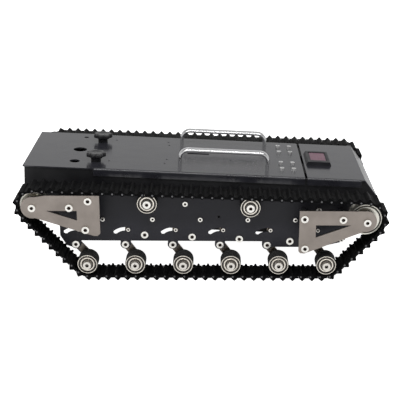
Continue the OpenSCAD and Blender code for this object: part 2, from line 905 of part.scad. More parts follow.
module wheel_axles() {
    color([0.78, 0.78, 0.79]) both_sides() {
        difference() {
            union() {
                pin_y(idler_x, idler_z, 4, hull_y - sheet, end_plate_y + plate_t);
                pin_y(idler_x, idler_z, 6, hull_y, 130.7);
                pin_y(idler_x, idler_z, 6, 155.3, end_plate_y);
                pin_y(idler_x, idler_z, screw_m6_r, end_plate_y + plate_t, end_plate_y + plate_t + 3.2);
            }
            hex_socket(idler_x, idler_z, end_plate_y + plate_t + 3.2);
        }
        for (x = roller_x) roller_axle(x, top_run_z(x) - wheel_r - 0.1);
    }
}

module roller_axle(x, z) {
    difference() {
        union() {
            pin_y(x, z, 3, plate_y - 4, plate_outer_y);
            pin_y(x, z, 5.5, plate_y - 4, plate_y);
            pin_y(x, z, 5.5, plate_outer_y, roller_inner_y - 0.3);
            pin_y(x, z, axle_r, roller_inner_y - 0.3, roller_outer_y + 0.3);
            pin_y(x, z, 6.2, roller_outer_y + 0.3, roller_outer_y + 4.3);
        }
        hex_socket(x, z, roller_outer_y + 4.3);
    }
}

// ---------------------------------------------------------------- assembly

hull();
lid();
tail_cover();
carry_handles();
battery_meter();
lid_hinge_leaves();
hull_hinge_leaves();
star_knob(left);  // star_knob_left
star_knob(right);  // star_knob_right
knob_inserts();
battery_pack();
motor_driver();
gear_motors();
suspension_plate(left);  // suspension_plate_left
suspension_plate(right);  // suspension_plate_right
idler_plates();
drive_plates();
for (i = [1:wheel_count]) {
    arm(left, i);
    arm(right, i);
    road_wheel(left, i);
    road_wheel(right, i);
}
drive_wheel(left);  // drive_wheel_left
drive_wheel(right);  // drive_wheel_right
drive_axle(left);  // drive_axle_left
drive_axle(right);  // drive_axle_right
idler(left);  // idler_left
idler(right);  // idler_right
return_roller(left, 1);  // return_roller_l1
return_roller(left, 2);  // return_roller_l2
return_roller(right, 1);  // return_roller_r1
return_roller(right, 2);  // return_roller_r2
track_links(left);  // track_links_left
track_links(right);  // track_links_right
track_pins();
suspension_springs();
m4_screws();
m6_screws();
spacers();
wheel_axles();
lid_screws();
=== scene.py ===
import json
import math

import bmesh
import bpy
from mathutils import Matrix, Vector


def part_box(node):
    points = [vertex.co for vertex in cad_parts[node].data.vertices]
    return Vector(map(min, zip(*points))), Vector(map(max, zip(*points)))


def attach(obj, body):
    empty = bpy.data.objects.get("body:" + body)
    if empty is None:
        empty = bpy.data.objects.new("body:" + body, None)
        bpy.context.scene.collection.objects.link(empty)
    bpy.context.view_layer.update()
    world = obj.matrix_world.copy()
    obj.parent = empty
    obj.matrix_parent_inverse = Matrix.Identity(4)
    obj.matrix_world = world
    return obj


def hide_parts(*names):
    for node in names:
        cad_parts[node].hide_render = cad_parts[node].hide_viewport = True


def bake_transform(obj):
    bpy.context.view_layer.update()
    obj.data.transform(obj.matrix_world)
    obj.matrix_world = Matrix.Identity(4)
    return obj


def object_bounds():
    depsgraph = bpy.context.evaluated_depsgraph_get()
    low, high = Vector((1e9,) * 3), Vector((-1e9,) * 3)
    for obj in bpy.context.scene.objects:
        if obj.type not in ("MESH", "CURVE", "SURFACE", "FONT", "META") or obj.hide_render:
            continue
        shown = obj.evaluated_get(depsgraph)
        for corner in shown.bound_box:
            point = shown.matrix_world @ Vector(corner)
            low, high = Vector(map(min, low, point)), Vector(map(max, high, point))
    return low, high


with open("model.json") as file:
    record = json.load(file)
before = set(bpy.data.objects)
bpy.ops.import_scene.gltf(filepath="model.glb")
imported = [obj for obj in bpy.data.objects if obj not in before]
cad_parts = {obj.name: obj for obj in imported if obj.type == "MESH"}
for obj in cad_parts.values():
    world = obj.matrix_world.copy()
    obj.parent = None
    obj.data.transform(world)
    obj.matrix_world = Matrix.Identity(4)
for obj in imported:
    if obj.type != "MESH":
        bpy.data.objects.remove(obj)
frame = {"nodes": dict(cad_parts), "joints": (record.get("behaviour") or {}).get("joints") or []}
CAD_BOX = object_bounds()
MM = 0.001
NODES = frame["nodes"]
JOINTS = {joint["name"]: joint for joint in frame["joints"]}

SIDES = {"left": -1, "right": 1}
WHEELS = range(1, 7)


# ------------------------------------------------------------------ helpers

def joint_point(name):
    """Where a joint's axis passes, in metres."""
    return Vector(JOINTS[name]["pos_m"])


def rake_angle():
    """The slope of the hull over the level ground, from the knob's axis."""
    axis = JOINTS["star_knob_left_turn"]["axis"]
    return math.atan2(axis[0], axis[2])


RAKE = Matrix.Rotation(rake_angle(), 4, "Y")


def new_object(name, bm, material, body, smooth=40):
    """A mesh piece that rides on a body, with edges sharper than smooth degrees left hard."""
    mesh = bpy.data.meshes.new(name)
    bmesh.ops.recalc_face_normals(bm, faces=bm.faces)
    bm.to_mesh(mesh)
    bm.free()
    mesh.materials.append(material)
    piece = bpy.data.objects.new(name, mesh)
    bpy.context.scene.collection.objects.link(piece)
    shade(piece, smooth)
    if body:
        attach(piece, body)
    return piece


def shade(piece, angle):
    """Smooth shading that keeps edges above the angle hard."""
    mesh = piece.data
    mesh.polygons.foreach_set("use_smooth", [True] * len(mesh.polygons))
    mesh.set_sharp_from_angle(angle=math.radians(angle))


def bevel(piece, width, segments=2, angle=35):
    """Softens a piece's hard edges, so that they catch the light."""
    modifier = piece.modifiers.new("edge", "BEVEL")
    modifier.width = width * MM
    modifier.segments = segments
    modifier.limit_method = "ANGLE"
    modifier.angle_limit = math.radians(angle)
    modifier.harden_normals = True
    modifier.use_clamp_overlap = True


def lathe(bm, profile, centre, steps=64, side=1):
    """Turns a closed outline of (radius, distance along Y) in mm about the Y axis through centre."""
    rings = []
    for k in range(steps):
        a = 2 * math.pi * k / steps
        rings.append([
            bm.verts.new(centre + Vector((r * math.cos(a), side * y, r * math.sin(a))) * MM)
            for r, y in profile
        ])
    count = len(profile)
    for k in range(steps):
        here, after = rings[k], rings[(k + 1) % steps]
        for i in range(count):
            j = (i + 1) % count
            bm.faces.new((here[i], here[j], after[j], after[i]))


def rounded(profile, radius, segments=3):
    """Rounds the corners of a closed outline of (r, y) points by the radius in mm."""
    out = []
    count = len(profile)
    for i in range(count):
        before, here, after = (Vector(profile[(i + k) % count]) for k in (-1, 0, 1))
        back, ahead = before - here, after - here
        reach = min(radius, back.length * 0.45, ahead.length * 0.45)
        start = here + back.normalized() * reach
        end = here + ahead.normalized() * reach
        for k in range(segments + 1):
            t = k / segments
            out.append(tuple(start.lerp(here, t).lerp(here.lerp(end, t), t)))
    return out


def sweep(bm, path, section, up=Vector((0, 1, 0)), closed=False):
    """Carries a closed section of (a, b) offsets along a path of points in metres."""
    rings = []
    last = len(path) - 1
    for k, point in enumerate(path):
        before = path[k - 1] if k > 0 or closed else path[k]
        after = path[(k + 1) % len(path)] if k < last or closed else path[k]
        ahead = (after - before).normalized()
        across = up.cross(ahead).normalized()
        over = ahead.cross(across)
        rings.append([bm.verts.new(point + across * a + over * b) for a, b in section])
    pairs = zip(rings, rings[1:] + rings[:1]) if closed else zip(rings, rings[1:])
    for one, two in pairs:
        for i in range(len(section)):
            j = (i + 1) % len(section)
            bm.faces.new((one[i], one[j], two[j], two[i]))
    if not closed:
        bm.faces.new(rings[0])
        bm.faces.new(rings[-1])


def ring_section(radius, count=10):
    """A round section for sweep, in metres."""
    return [
        (radius * math.cos(2 * math.pi * k / count), radius * math.sin(2 * math.pi * k / count))
        for k in range(count)
    ]


def oval_section(width, depth, power=2.6, count=24):
    """A flattened oval section for sweep, in metres."""
    out = []
    for k in range(count):
        a = 2 * math.pi * k / count
        c, s = math.cos(a), math.sin(a)
        out.append((
            math.copysign(abs(c) ** (2 / power), c) * depth / 2,
            math.copysign(abs(s) ** (2 / power), s) * width / 2,
        ))
    return out


# ------------------------------------------------------------------ materials

class Nodes:
    """A short way to write a material's node tree."""

    def __init__(self, name):
        self.material = bpy.data.materials.new(name)
        self.material.use_nodes = True
        self.tree = self.material.node_tree
        self.shader = self.tree.nodes["Principled BSDF"]
        self.place = self.add("ShaderNodeTexCoord").outputs["Object"]

    def add(self, kind, **settings):
        node = self.tree.nodes.new(kind)
        for key, value in settings.items():
            setattr(node, key, value)
        return node

    def join(self, source, target):
        self.tree.links.new(source, target)

    def noise(self, scale, detail=4, stretch=(1, 1, 1)):
        """Grain of about 1 / scale metres, stretched along the axes."""
        mapping = self.add("ShaderNodeMapping")
        mapping.inputs["Scale"].default_value = stretch
        self.join(self.place, mapping.inputs["Vector"])
        node = self.add("ShaderNodeTexNoise")
        node.inputs["Scale"].default_value = scale
        node.inputs["Detail"].default_value = detail
        self.join(mapping.outputs[0], node.inputs["Vector"])
        return node.outputs["Fac"]

    def range(self, source, low, high, from_low=0.3, from_high=0.7):
        """Maps a grain's usual span to low..high."""
        node = self.add("ShaderNodeMapRange")
        node.inputs["From Min"].default_value = from_low
        node.inputs["From Max"].default_value = from_high
        node.inputs["To Min"].default_value = low
        node.inputs["To Max"].default_value = high
        self.join(source, node.inputs["Value"])
        return node.outputs[0]

    def mix(self, factor, one, two):
        """A colour between one and two."""
        node = self.add("ShaderNodeMix", data_type="RGBA")
        self.join(factor, node.inputs[0])
        for value, slot in ((one, node.inputs[6]), (two, node.inputs[7])):
            if isinstance(value, tuple):
                slot.default_value = (*value, 1)
            else:
                self.join(value, slot)
        return node.outputs[2]

    def edge_wear_and_highlight(self, amount=0.5, radius=0.0006):
        """Where a convex edge is, as a factor from 0 to 1; the lighter edge colour mixed in by it stands partly
        for rubbing, partly for a painted highlight.
        """
        bevel_node = self.add("ShaderNodeBevel", samples=4)
        bevel_node.inputs["Radius"].default_value = radius
        geometry = self.add("ShaderNodeNewGeometry")
        dot = self.add("ShaderNodeVectorMath", operation="DOT_PRODUCT")
        self.join(bevel_node.outputs[0], dot.inputs[0])
        self.join(geometry.outputs["Normal"], dot.inputs[1])
        return self.range(dot.outputs["Value"], amount, 0, 0.9, 0.995)

    def hollow_shade(self, reach=0.006, low=0.92, high=0.995):
        """Painted shade: where a surface lies inside a small recess such as a socket, judged by ambient occlusion,
        as a factor from 0 to 1.
        """
        node = self.add("ShaderNodeAmbientOcclusion", samples=6, only_local=True)
        node.inputs["Distance"].default_value = reach
        return self.range(node.outputs["AO"], 1, 0, low, high)

    def bump(self, height, strength, distance):
        node = self.add("ShaderNodeBump")
        node.inputs["Strength"].default_value = strength
        node.inputs["Distance"].default_value = distance
        self.join(height, node.inputs["Height"])
        self.join(node.outputs[0], self.shader.inputs["Normal"])

    def set(self, **values):
        for key, value in values.items():
            slot = self.shader.inputs[key.replace("_", " ")]
            if isinstance(value, bpy.types.NodeSocket):
                self.join(value, slot)
            elif isinstance(value, tuple):
                slot.default_value = (*value, 1)
            else:
                slot.default_value = value
        return self


def coated_sheet(name, colour, rough, gloss=0.5, edge=0.17):
    """Black anodised or powder-coated sheet with faint handling marks, and convex edges lightened partly by
    rubbing, partly as a painted highlight.
    """
    n = Nodes(name)
    smears = n.noise(26, 5, (1, 2.2, 1))
    fine = n.noise(1600, 3)
    wear_and_highlight = n.edge_wear_and_highlight(0.35, 0.0004)
    base = n.mix(n.range(smears, 0, 1), colour, tuple(c * 1.35 + 0.004 for c in colour))
    # Convex edges mixed towards the edge grey: partly rubbing, partly painted highlight.
    n.set(
        Base_Color=n.mix(wear_and_highlight, base, (edge, edge, edge)),
        Roughness=n.range(smears, rough * 0.85, rough * 1.25),
        Specular_IOR_Level=gloss,
    )
    n.bump(fine, 0.03, 0.00004)
    return n.material


def brushed_metal(name, colour, rough, stretch, scale=900, cloudy=0.45):
    """Metal with fine parallel brush lines, and convex edges brightened as a painted highlight."""
    n = Nodes(name)
    lines = n.noise(scale, 3, stretch)
    clouds = n.noise(40, 5)
    wear_and_highlight = n.edge_wear_and_highlight(0.6, 0.0003)
    base = n.mix(n.range(lines, 0, 1), tuple(c * 0.82 for c in colour), colour)
    base = n.mix(n.range(clouds, 0, cloudy), base, tuple(c * 0.70 for c in colour))
    # Convex edges brightened by a quarter: painted highlight.
    n.set(
        Base_Color=n.mix(wear_and_highlight, base, tuple(min(1, c * 1.25) for c in colour)),
        Metallic=1.0,
        Roughness=n.range(lines, rough * 0.8, rough * 1.3),
        Anisotropic=0.5,
    )
    n.bump(lines, 0.12, 0.0001)
    return n.material


def arm_metal(name):
    """Machined arm steel, with the brighter axle and stop pin that stand out on both faces of the arm."""
    n = Nodes(name)
    split = n.add("ShaderNodeSeparateXYZ")
    n.join(n.place, split.inputs[0])
    reach = n.add("ShaderNodeMath", operation="ABSOLUTE")
    n.join(split.outputs["Y"], reach.inputs[0])
    from_middle = n.add("ShaderNodeMath", operation="SUBTRACT")
    from_middle.inputs[1].default_value = 0.1267
    n.join(reach.outputs[0], from_middle.inputs[0])
    distance = n.add("ShaderNodeMath", operation="ABSOLUTE")
    n.join(from_middle.outputs[0], distance.inputs[0])
    pin = n.range(distance.outputs[0], 0, 1, 0.00203, 0.00206)
    lines = n.noise(700, 3, (1, 1, 6))
    steel = n.mix(n.range(lines, 0, 1), (0.20, 0.175, 0.15), (0.30, 0.265, 0.23))
    # Sockets and inside corners go to near-black brown: painted shade from ambient occlusion.
    n.set(
        Base_Color=n.mix(n.hollow_shade(0.003, 0.80, 0.98), n.mix(pin, steel, (0.80, 0.77, 0.72)), (0.03, 0.022, 0.018)),
        Metallic=1.0,
        Roughness=n.range(n.noise(160), 0.22, 0.40),
    )
    n.bump(lines, 0.1, 0.0001)
    return n.material


def plated_metal(name, colour, rough):
    """Bright plated or polished metal with slight clouding."""
    n = Nodes(name)
    clouds = n.noise(160, 4)
    scratches = n.noise(1400, 2, (1, 9, 1))
    n.set(
        Base_Color=n.mix(n.range(clouds, 0, 1), colour, tuple(c * 0.85 for c in colour)),
        Metallic=1.0,
        Roughness=n.range(clouds, rough * 0.7, rough * 1.5),
    )
    n.bump(scratches, 0.05, 0.00005)
    return n.material


def socket_screw(name, colour, rough):
    """Bright screw whose hex socket is darkened with painted shade."""
    n = Nodes(name)
    clouds = n.noise(220, 4)
    bright = n.mix(n.range(clouds, 0, 1), colour, tuple(c * 0.85 for c in colour))
    # Inside the socket the colour goes to near-black brown: painted shade where ambient occlusion is found.
    n.set(
        Base_Color=n.mix(n.hollow_shade(), bright, (0.03, 0.022, 0.018)),
        Metallic=1.0,
        Roughness=n.range(clouds, rough * 0.7, rough * 1.5),
    )
    n.bump(n.noise(1500, 2), 0.06, 0.00005)
    return n.material


def moulded(name, colour, rough, grain=900, depth=0.18, edge=(0.10, 0.10, 0.10), gloss=0.5):
    """Moulded rubber or plastic with a fine pitted surface, and convex edges lightened partly by rubbing, partly
    as a painted highlight.
    """
    n = Nodes(name)
    pits = n.noise(grain, 4)
    dust = n.noise(60, 5)
    wear_and_highlight = n.edge_wear_and_highlight(0.55, 0.0005)
    base = n.mix(n.range(dust, 0, 1), colour, tuple(c * 1.7 + 0.0008 for c in colour))
    # Convex edges mixed towards the edge colour: partly rubbing, partly painted highlight.
    n.set(
        Base_Color=n.mix(wear_and_highlight, base, edge),
        Roughness=n.range(dust, rough * 0.85, rough * 1.2),
        Specular_IOR_Level=gloss,
    )
    n.bump(pits, depth, 0.0002)
    return n.material


def circuit_board(name):
    """Green solder resist with paler copper tracks under it."""
    n = Nodes(name)
    brick = n.add("ShaderNodeTexBrick")
    brick.inputs["Scale"].default_value = 170
    brick.inputs["Mortar Size"].default_value = 0.06
    n.join(n.place, brick.inputs["Vector"])
    tracks = brick.outputs["Fac"]
    n.set(
        Base_Color=n.mix(tracks, (0.010, 0.085, 0.035), (0.03, 0.20, 0.09)),
        Roughness=n.range(n.noise(300), 0.28, 0.42),
    )
    n.bump(tracks, 0.25, 0.0001)
    return n.material


def shrink_wrap(name):
    """Blue shrink sleeve, wrinkled where it pulls tight."""
    n = Nodes(name)
    wrinkles = n.noise(75, 6, (1, 3, 1))
    n.set(
        Base_Color=n.mix(n.range(wrinkles, 0, 1), (0.015, 0.05, 0.22), (0.03, 0.10, 0.36)),
        Roughness=n.range(wrinkles, 0.22, 0.4),
    )
    n.bump(wrinkles, 0.5, 0.0006)
    return n.material


def display_window(name):
    """Dark reddish filter over an unlit display."""
    n = Nodes(name)
    cells = n.add("ShaderNodeTexBrick", offset=0.0)
    cells.inputs["Scale"].default_value = 95
    cells.inputs["Mortar Size"].default_value = 0.015
    n.join(n.place, cells.inputs["Vector"])
    n.set(
        Base_Color=n.mix(cells.outputs["Fac"], (0.17, 0.085, 0.115), (0.09, 0.04, 0.06)),
        Roughness=n.range(n.noise(90), 0.3, 0.4),
        Specular_IOR_Level=0.2,
    )
    return n.material


MAT = {
    "hull": coated_sheet("hull_coat", (0.006, 0.006, 0.007), 0.45, gloss=0.3),
    "deck": coated_sheet("deck_coat", (0.014, 0.014, 0.018), 0.20, 0.6),
    "plate": coated_sheet("plate_coat", (0.010, 0.010, 0.014), 0.42, gloss=0.3),
    "steel": brushed_metal("end_plate_steel", (0.36, 0.318, 0.287), 0.34, (1, 1, 14), cloudy=0.9),
    "arm": arm_metal("arm_steel"),
    "handle": plated_metal("handle_polish", (0.72, 0.72, 0.73), 0.16),
    "zinc": plated_metal("zinc_plate", (0.60, 0.60, 0.61), 0.30),
    "lid_screw": plated_metal("lid_screw_plate", (0.97, 0.97, 0.96), 0.30),
    "screw": socket_screw("screw_plate", (0.95, 0.93, 0.88), 0.20),
    "hinge": coated_sheet("hinge_coat", (0.004, 0.004, 0.004), 0.6, gloss=0.15),
    "pin": plated_metal("pin_steel", (0.14, 0.14, 0.145), 0.35),
    "bearing": plated_metal("bearing_steel", (0.92, 0.87, 0.78), 0.22),
    "shield": moulded("bearing_shield", (0.030, 0.024, 0.020), 0.45),
    "aluminium": brushed_metal("turned_aluminium", (0.96, 0.94, 0.85), 0.30, (1, 12, 1)),
    "rubber": moulded("tyre_rubber", (0.007, 0.007, 0.007), 0.55, edge=(0.04, 0.04, 0.04), gloss=0.25),
    "track": moulded("track_plastic", (0.0012, 0.0012, 0.0014), 0.52, 700, 0.2, (0.008, 0.008, 0.009), 0.05),
    "knob": moulded("knob_plastic", (0.005, 0.005, 0.006), 0.30, 1100, 0.12, (0.03, 0.03, 0.03), 0.5),
    "bezel": moulded("meter_plastic", (0.008, 0.008, 0.010), 0.42, 1300, 0.1, (0.05, 0.05, 0.05), 0.3),
    "window": display_window("meter_window"),
    "brass": plated_metal("insert_brass", (0.72, 0.52, 0.22), 0.28),
    "board": circuit_board("board_resist"),
    "wrap": shrink_wrap("battery_wrap"),
    "motor": brushed_metal("motor_steel", (0.46, 0.46, 0.47), 0.36, (1, 14, 1)),
    "spring": plated_metal("spring_wire", (0.70, 0.70, 0.70), 0.22),
    "lead_red": moulded("lead_red", (0.35, 0.01, 0.01), 0.4, 1500, 0.05, (0.4, 0.04, 0.04)),
    "lead_black": moulded("lead_black", (0.01, 0.01, 0.011), 0.4, 1500, 0.05, (0.05, 0.05, 0.05)),
}


# ------------------------------------------------------------------ CAD nodes that stay

def finish_node(name, material, width=0.0, angle=35, segments=2):
    """Gives a CAD node its material, shading and softened edges."""
    node = NODES[name]
    node.data.materials.clear()
    node.data.materials.append(MAT[material])
    if width:
        bevel(node, width, segments, angle)


def finish_nodes():
    finish_node("hull", "hull", 0.6)
    finish_node("lid", "deck", 0.7, segments=3)
    finish_node("tail_cover", "deck", 0.5)
    for name in ("lid_hinge_leaves", "hull_hinge_leaves"):
        finish_node(name, "hinge", 0.2)
    finish_node("spacers", "zinc", 0.2)
    finish_node("wheel_axles", "screw", 0.2)
    finish_node("knob_inserts", "brass", 0.2)
    finish_node("battery_pack", "wrap", 3.0, segments=4)
    finish_node("motor_driver", "board", 0.2)
    finish_node("gear_motors", "motor", 0.8)
    for side in SIDES:
        finish_node(f"suspension_plate_{side}", "plate", 0.35)
        finish_node(f"drive_axle_{side}", "screw", 0.4)
        finish_node(f"track_links_{side}", "track", 0.25)
    finish_node("idler_plates", "steel")
    finish_node("drive_plates", "steel")
    finish_node("track_pins", "pin", 0.3)
    for name in ("m4_screws", "m6_screws"):
        finish_node(name, "screw", 0.35)
    finish_node("lid_screws", "lid_screw", 0.5)
    for side in "lr":
        for i in WHEELS:
            finish_node(f"arm_{side}{i}", "arm", 0.4)


# ------------------------------------------------------------------ wheels

def tyre_profile(radius, low, high, bore, grooves):
    """Outline of a tyre with rounded shoulders and grooves round it."""
    points = [(bore, low), (radius - 0.6, low), (radius, low + 0.8)]
    step = (high - low) / (grooves + 1)
    for k in range(1, grooves + 1):
        y = low + k * step
        points += [(radius, y - 1.1), (radius - 1.3, y - 0.7), (radius - 1.3, y + 0.7), (radius, y + 1.1)]
    points += [(radius, high - 0.8), (radius - 0.6, high), (bore, high)]
    return rounded(points, 0.35, 2)


def bearing_rings(bm, centre, side, face, width, inward):
    """Outer and inner race of a ball bearing whose face is at distance face."""
    low, high = sorted((face, face + inward * width))
    lathe(bm, rounded([(9.1, low), (11.0, low), (11.0, high), (9.1, high)], 0.3, 2), centre, 48, side)
    lathe(bm, rounded([(4.0, low), (6.3, low), (6.3, high), (4.0, high)], 0.3, 2), centre, 40, side)


def bearing_shield(bm, centre, side, face, width, inward):
    """Recessed ring that closes a bearing between its races."""
    low, high = sorted((face + inward * 0.5, face + inward * (width - 0.5)))
    lathe(bm, [(6.3, low), (9.1, low), (9.1, high), (6.3, high)], centre, 48, side)


def spool_wheel(node, body, centre, side, low, high, grooves, bearing):
    """Tyre, end flanges, ball bearings and their shields of one running wheel."""
    radius = (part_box(node)[1][2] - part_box(node)[0][2]) / 2 / MM
    bm = bmesh.new()
    lathe(bm, tyre_profile(radius, low, high, max(radius - 2.7, 11.6), grooves), centre, 72, side)
    tyre = new_object(f"{node}_tyre", bm, MAT["rubber"], body)
    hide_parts(node)
    bm = bmesh.new()
    for face, inward in ((low - 0.2, 1), (high + 0.2, -1)):
        ring = [(radius - 1.9, face), (radius - 0.8, face), (radius - 0.8, face + inward * 0.7),
                (radius - 1.9, face + inward * 2.0)]
        lathe(bm, rounded(ring, 0.2, 2), centre, 72, side)
    hub = new_object(f"{node}_rim", bm, MAT["bearing"], body)
    bm = bmesh.new()
    shields = bmesh.new()
    tube = [(11.0, low + 1.4), (radius - 1.8, low + 1.4), (radius - 1.8, high - 1.4), (11.0, high - 1.4)]
    lathe(shields, rounded(tube, 0.2, 2), centre, 56, side)
    for face, inward in ((low + 0.2, 1), (high - 0.2, -1)):
        bearing_rings(bm, centre, side, face, bearing, inward)
        bearing_shield(shields, centre, side, face, bearing, inward)
    races = new_object(f"{node}_races", bm, MAT["bearing"], body)
    covers = new_object(f"{node}_shields", shields, MAT["shield"], body)


def node_span(node, side):
    """How far a node reaches from the centre plane, nearest and farthest, in mm."""
    low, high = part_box(node)
    edges = sorted((side * low[1] / MM, side * high[1] / MM))
    return edges


def centre_of(joint):
    """A wheel's centre with its Y set to zero, so that a profile is measured from the centre plane."""
    point = joint_point(joint)
    return Vector((point.x, 0, point.z))


def running_wheels():
    for side_name, side in SIDES.items():
        s = side_name[0]
        for i in WHEELS:
            node = f"road_wheel_{s}{i}"
            low, high = node_span(node, side)
            spool_wheel(node, node, centre_of(f"{node}_turn"), side, low, high, 3, 7)
        for k in (1, 2):
            node = f"return_roller_{s}{k}"
            low, high = node_span(node, side)
            spool_wheel(node, node, centre_of(f"{node}_turn"), side, low, high, 1, 5)


def drive_wheels():
    """Turned aluminium drum with a bright rim, a cream hub ring, shallow ribs and a dark ring of painted shade in
    its outer groove.
    """
    for side_name, side in SIDES.items():
        node = f"drive_wheel_{side_name}"
        low, high = node_span(node, side)
        centre = centre_of(f"{node}_turn")
        outline = [
            (5.0, low), (25.0, low), (25.0, low + 3), (21.9, low + 3.6), (21.9, high - 5.6),
            (25.0, high - 5), (25.0, high - 1.2), (24.4, high), (22.4, high), (22.2, high - 3.0),
            (20.6, high - 3.0), (20.4, high), (12.4, high), (12.2, high - 4.6), (9.2, high - 4.6),
            (9.0, high), (5.0, high),
        ]
        bm = bmesh.new()
        lathe(bm, rounded(outline, 0.5, 3), centre, 96, side)
        for k in range(12):
            rib(bm, centre, side, k * math.tau / 12, low + 3, high - 5)
        drum = new_object(f"{node}_drum", bm, MAT["aluminium"], node)
        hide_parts(node)
        # A dark ring set into the groove inside the outer flange stands in for the groove's shade: painted shade.
        bm = bmesh.new()
        groove_shade = [(20.6, high - 3.0), (22.2, high - 3.0), (22.2, high - 1.2), (20.6, high - 1.2)]
        lathe(bm, rounded(groove_shade, 0.3, 2), centre, 72, side)
        new_object(f"{node}_seal", bm, MAT["shield"], node)


def rib(bm, centre, side, angle, low, high):
    """One rounded rib between the drum's flanges."""
    section = [(-1.6, 21.0), (-1.5, 23.6), (-0.9, 24.5), (0.9, 24.5), (1.5, 23.6), (1.6, 21.0)]
    ends = []
    for y in (low, high):
        ring = []
        for t, r in section:
            x = r * math.cos(angle) - t * math.sin(angle)
            z = r * math.sin(angle) + t * math.cos(angle)
            ring.append(bm.verts.new(centre + Vector((x, side * y, z)) * MM))
        ends.append(ring)
    for i in range(len(section)):
        j = (i + 1) % len(section)
        bm.faces.new((ends[0][i], ends[0][j], ends[1][j], ends[1][i]))
    bm.faces.new(ends[0])
    bm.faces.new(ends[1])


def idlers():
    for side_name, side in SIDES.items():
        node = f"idler_{side_name}"
        low, high = node_span(node, side)
        outline = [
            (4.05, low), (8.0, low), (8.3, low + 2), (17.6, low + 2), (17.9, low), (20.9, low),
            (20.9, low + 6), (18.4, low + 6.6), (18.4, high - 6.6), (20.9, high - 6), (20.9, high),
            (17.9, high), (17.6, high - 2), (8.3, high - 2), (8.0, high), (4.05, high),
        ]
        bm = bmesh.new()
        lathe(bm, rounded(outline, 0.45, 3), centre_of(f"{node}_turn"), 88, side)
        drum = new_object(f"{node}_drum", bm, MAT["aluminium"], node)
        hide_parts(node)


# ------------------------------------------------------------------ deck pieces

def deck_point(x, y, z):
    """A point given in the raked frame, whose origin is on the deck over the track centre, in mm."""
    hinge = joint_point("lid_hinge")
    from_hinge = Vector((x, y, z)) * MM - HINGE_IN_DECK
    return hinge + RAKE.to_3x3() @ from_hinge


HINGE_IN_DECK = Vector((162.6, 0, -1.5)) * MM


def handle_path(half, height, corner, drop=0.0, steps=10):
    """Centre line of a handle, foot to foot, as (x, z) in mm."""
    points = [(-half, -drop)]
    for k in range(1, 5):
        points.append((-half, (height - corner) * k / 4))
    for k in range(1, steps + 1):
        a = math.pi - k / steps * math.pi / 2
        points.append((-half + corner + corner * math.cos(a), height - corner + corner * math.sin(a)))
    for k in range(1, 8):
        points.append((-half + corner + (2 * half - 2 * corner) * k / 8, height))
    for k in range(steps + 1):
        a = math.pi / 2 - k / steps * math.pi / 2
        points.append((half - corner + corner * math.cos(a), height - corner + corner * math.sin(a)))
    for k in range(3, -1, -1):
        points.append((half, (height - corner) * k / 4 if k else -drop))
    return points


def carry_handles():
    """Two polished flat-oval bars bent into bridges."""
    for side_name, side in SIDES.items():
        path = [deck_point(32.5 + x, side * 55, z) for x, z in handle_path(70.05, 25.4, 13)]
        bm = bmesh.new()
        sweep(bm, path, oval_section(13 * MM, 6.4 * MM), Vector((0, 1, 0)))
        piece = new_object(f"carry_handle_{side_name}", bm, MAT["handle"], "lid", 60)
        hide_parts("carry_handles")


def star_knobs():
    """Seven-lobed moulded knobs with a flared neck and a steel stud."""
    for side_name, side in SIDES.items():
        node = f"star_knob_{side_name}"
        foot = joint_point(f"{node}_turn")
        bm = bmesh.new()
        knob_body(bm, foot)
        piece = new_object(f"{node}_body", bm, MAT["knob"], node, 50)
        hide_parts(node)
        bm = bmesh.new()
        stud(bm, foot)
        piece = new_object(f"{node}_stud", bm, MAT["zinc"], node, 50)


def knob_radius(angle, lobes=7):
    """Outline of the knob's head: rounded lobes with scooped gaps between them."""
    wave = 0.5 + 0.5 * math.cos(lobes * angle)
    return 12.4 + 3.5 * wave ** 0.8


def knob_body(bm, foot, steps=112):
    """Stacked rings from the neck's foot to the domed top, turned about the raked axis."""
    levels = [
        (0.0, 7.4, 0), (0.4, 8.0, 0), (4.2, 8.0, 0), (4.9, 8.3, 0.02), (6.8, 10.6, 0.35), (7.5, 11.9, 0.75),
        (7.9, 12.3, 0.93), (8.4, 12.4, 1.0), (12.9, 12.4, 1.0), (13.6, 12.1, 0.97), (14.0, 11.5, 0.88),
        (14.2, 10.6, 0.72), (14.2, 7.6, 0.2), (13.8, 6.6, 0), (13.7, 3.0, 0),
    ]
    turn = RAKE.to_3x3()
    rings = []
    for z, r, lobed in levels:
        ring = []
        for k in range(steps):
            a = math.tau * k / steps
            reach = r + lobed * (knob_radius(a) - 12.4)
            ring.append(bm.verts.new(foot + turn @ (Vector((reach * math.cos(a), reach * math.sin(a), z)) * MM)))
        rings.append(ring)
    for one, two in zip(rings, rings[1:]):
        for k in range(steps):
            j = (k + 1) % steps
            bm.faces.new((one[k], one[j], two[j], two[k]))
    bm.faces.new(rings[0])
    bm.faces.new(rings[-1])


def stud(bm, foot):
    """Threaded stud under the knob: rings that rise and fall like a thread's crests."""
    turn = RAKE.to_3x3()
    rings = []
    steps = 20
    for k in range(65):
        z = -16 + k * 0.25
        r = 2.4 if k % 4 in (1, 2) else 2.05
        r = 1.6 if k == 0 else r
        rings.append([
            bm.verts.new(foot + turn @ (Vector((r * math.cos(math.tau * i / steps), r * math.sin(math.tau * i / steps), z)) * MM))
            for i in range(steps)
        ])
    for one, two in zip(rings, rings[1:]):
        for i in range(steps):
            j = (i + 1) % steps
            bm.faces.new((one[i], one[j], two[j], two[i]))
    bm.faces.new(rings[0])
    bm.faces.new(rings[-1])


